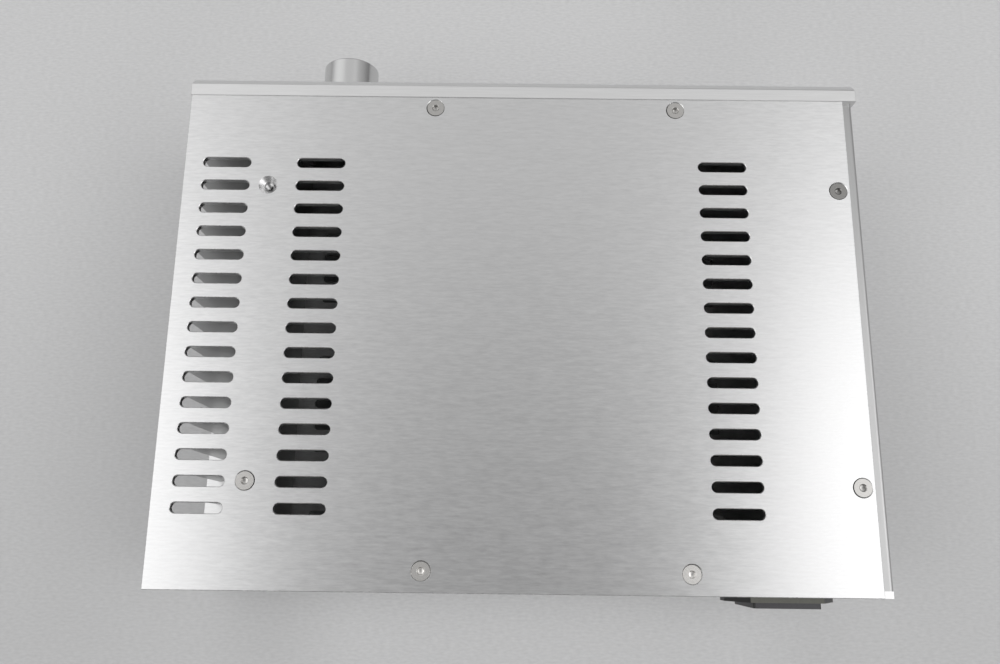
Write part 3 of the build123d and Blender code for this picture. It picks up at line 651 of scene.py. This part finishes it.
thread_turns.data.materials.append(metal(
    "tapped_aluminium", grey(0.32), grey(0.46), (0.16, 0.26),
    {"Centre": (hole_x, flank_front_y, 0), "Fineness": 4000.0, "Bump": 0.03},
    pattern=turned_rings,
))
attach(thread_turns, "chassis")

# Other screws, nuts and the potentiometer's washer: stainless steel, turned or cold-formed and
# left plain. The knob's set screw and the two screws of the inlet are blackened.
stainless = metal("stainless", (0.52, 0.51, 0.50), (0.60, 0.59, 0.58), (0.24, 0.34), grainy)
blackened = metal("blackened", grey(0.03), grey(0.07), (0.3, 0.45), grainy)
for node in (
    "bottom_plate_screws", "side_panel_screws", "rear_panel_screws",
    "front_rail_screws", "bracket_screws", "foot_screws", "foot_nuts", "inlet_nuts",
    "pot_washer", "pot_nut",
):
    dress(node, stainless)
dress("knob_set_screw", blackened)
dress("inlet_screws", blackened)

# Feet: four cones turned from aluminium, each held by a cap screw up through its middle. The
# case rests on the moulded rubber rings that are pressed into their undersides.
turned_foot = metal(
    "turned_foot", grey(0.62), grey(0.80), (0.22, 0.34),
    {"Stretch": (60.0, 60.0, 2600.0), "Bump": 0.10},
)
dress("feet", turned_foot)


def moulded(name, dark, light, rough, grain, bump):
    """Plastic or rubber with a fine even grain from its mould."""
    grain_depth = 0.00008
    made = bpy.data.materials.new(name)
    made.use_nodes = True
    tree = made.node_tree
    shader = tree.nodes["Principled BSDF"]
    place = tree.nodes.new("ShaderNodeTexCoord")
    noise = tree.nodes.new("ShaderNodeTexNoise")
    noise.inputs["Scale"].default_value = grain
    noise.inputs["Detail"].default_value = 2.0
    tint = tree.nodes.new("ShaderNodeMix")
    tint.data_type = "RGBA"
    tint.inputs["A"].default_value = (*dark, 1)
    tint.inputs["B"].default_value = (*light, 1)
    gloss = tree.nodes.new("ShaderNodeMapRange")
    gloss.inputs["To Min"].default_value = rough[0]
    gloss.inputs["To Max"].default_value = rough[1]
    relief = tree.nodes.new("ShaderNodeBump")
    relief.inputs["Distance"].default_value = grain_depth
    relief.inputs["Strength"].default_value = bump
    tree.links.new(place.outputs["Object"], noise.inputs["Vector"])
    tree.links.new(noise.outputs["Fac"], tint.inputs["Factor"])
    tree.links.new(noise.outputs["Fac"], gloss.inputs["Value"])
    tree.links.new(noise.outputs["Fac"], relief.inputs["Height"])
    tree.links.new(tint.outputs["Result"], shader.inputs["Base Color"])
    tree.links.new(gloss.outputs["Result"], shader.inputs["Roughness"])
    tree.links.new(relief.outputs["Normal"], shader.inputs["Normal"])
    return made


black_rubber = moulded(
    "black_rubber", grey(0.018), grey(0.03), (0.7, 0.9), grain=1500.0, bump=0.4,
)
dress("foot_pads", black_rubber)

# Volume control: a potentiometer in a plated steel can, its brass shaft through the front panel
# and held there by its nut and washer. Its tags are tinned and bare, as nothing is wired.
plated_can = metal("plated_can", (0.50, 0.50, 0.48), (0.66, 0.66, 0.63), (0.25, 0.4), grainy)
turned_brass = metal("turned_brass", (0.58, 0.46, 0.24), (0.74, 0.62, 0.36), (0.22, 0.34), grainy)
tinned = metal("tinned", (0.66, 0.64, 0.58), (0.80, 0.78, 0.72), (0.22, 0.36), grainy)
dress("pot_body", plated_can)
dress("pot_shaft", turned_brass)
dress("pot_terminals", tinned)


# Knob: turned from solid aluminium, satin on its flank and face, with a milled line on the face
# that marks its position. The chamfer round its face is cut last and is smoother than the rest;
# its colour is painted dark as a painted reflection of the dark side of the room.
def clean_copy(name, node):
    """A copy of a CAD node's mesh as one shell of flat faces, ready to be bevelled."""
    piece = bpy.data.objects.new(name, nodes[node].data.copy())
    bpy.context.collection.objects.link(piece)
    work_on(piece)
    bpy.ops.mesh.customdata_custom_splitnormals_clear()
    bpy.ops.object.mode_set(mode="EDIT")
    bpy.ops.mesh.select_all(action="SELECT")
    bpy.ops.mesh.remove_doubles(threshold=0.000001)
    bpy.ops.mesh.dissolve_limited(angle_limit=math.radians(1))
    bpy.ops.object.mode_set(mode="OBJECT")
    piece.data.materials.clear()
    return piece


knob_low, knob_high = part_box("volume_knob")
chamfer_reach, least_slant, most_slant = 0.001, 0.5, 0.85
about_knob = {
    "Centre": ((knob_low.x + knob_high.x) / 2, 0, (knob_low.z + knob_high.z) / 2),
    "Across": (1, 0, 1), "Along": (0, 1, 0), "Fineness": 6000.0, "Bump": 0.05,
}
satin_knob = metal(
    "satin_knob", grey(0.60), grey(0.68), (0.20, 0.26), about_knob, pattern=turned_rings,
)
# Painted reflection: the chamfer's colour is much darker than the flank's.
chamfer_painted_dark = metal(
    "chamfer_painted_dark", grey(0.27), grey(0.34), (0.10, 0.16), about_knob, pattern=turned_rings,
)
knob = clean_copy("turned_knob", "volume_knob")
knob.data.materials.append(satin_knob)
knob.data.materials.append(chamfer_painted_dark)
soften(knob, width=0.00008, segments=2, angle=30)
for face in knob.data.polygons:
    slanted = least_slant < abs(face.normal.y) < most_slant
    if slanted and face.center.y < knob_low.y + chamfer_reach:
        face.material_index = 1
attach(knob, "knob")
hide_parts("volume_knob")

# Mains inlet: black moulded housing with a socket above a fuse drawer, its edges rounded by the
# mould, and tinned blades. Two screws hold it to the rear panel. Its upward faces are painted
# lighter, as painted light from above, the flange's more than the frame's.
flange_thickness = 0.0032
rear_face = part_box("rear_panel")[1].y
flange_face = rear_face + flange_thickness
black_moulding = moulded(
    "black_moulding", grey(0.010), grey(0.022), (0.34, 0.5), grain=1800.0, bump=0.25,
)
painted_light_flange = moulded(
    "painted_light_flange", (0.10, 0.10, 0.086), (0.15, 0.15, 0.128), (0.5, 0.65),
    grain=1500.0, bump=0.4,
)
painted_light_frame = moulded(
    "painted_light_frame", (0.045, 0.044, 0.048), (0.07, 0.068, 0.074), (0.4, 0.55),
    grain=1500.0, bump=0.3,
)
inlet = clean_copy("mains_inlet", "inlet_housing")
bpy.ops.object.mode_set(mode="EDIT")
bpy.ops.mesh.select_all(action="SELECT")
bpy.ops.mesh.bisect(plane_co=(0, flange_face, 0), plane_no=(0, 1, 0))
bpy.ops.object.mode_set(mode="OBJECT")
for finish in (black_moulding, painted_light_flange, painted_light_frame):
    inlet.data.materials.append(finish)
soften(inlet, width=0.00025, segments=2, angle=30)
# Upward faces take the painted light, the flange's lighter than the frame's.
for face in inlet.data.polygons:
    if face.normal.z > 0.9 and face.center.y > rear_face:
        face.material_index = 1 if face.center.y < flange_face else 2
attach(inlet, "chassis")
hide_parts("inlet_housing")
dress("inlet_pins", tinned)
dress("fuse_drawer", black_moulding)

# Fuse: a clear glass tube with a tinned cap on each end. It lies in the drawer of the inlet and
# comes out with it.
clear_glass = bpy.data.materials.new("clear_glass")
clear_glass.use_nodes = True
glass_shader = clear_glass.node_tree.nodes["Principled BSDF"]
glass_shader.inputs["Base Color"].default_value = (0.93, 0.96, 0.95, 1)
glass_shader.inputs["Roughness"].default_value = 0.04
glass_shader.inputs["Transmission Weight"].default_value = 0.9
glass_shader.inputs["IOR"].default_value = 1.5
dress("fuse_glass", clear_glass)
dress("fuse_caps", tinned)
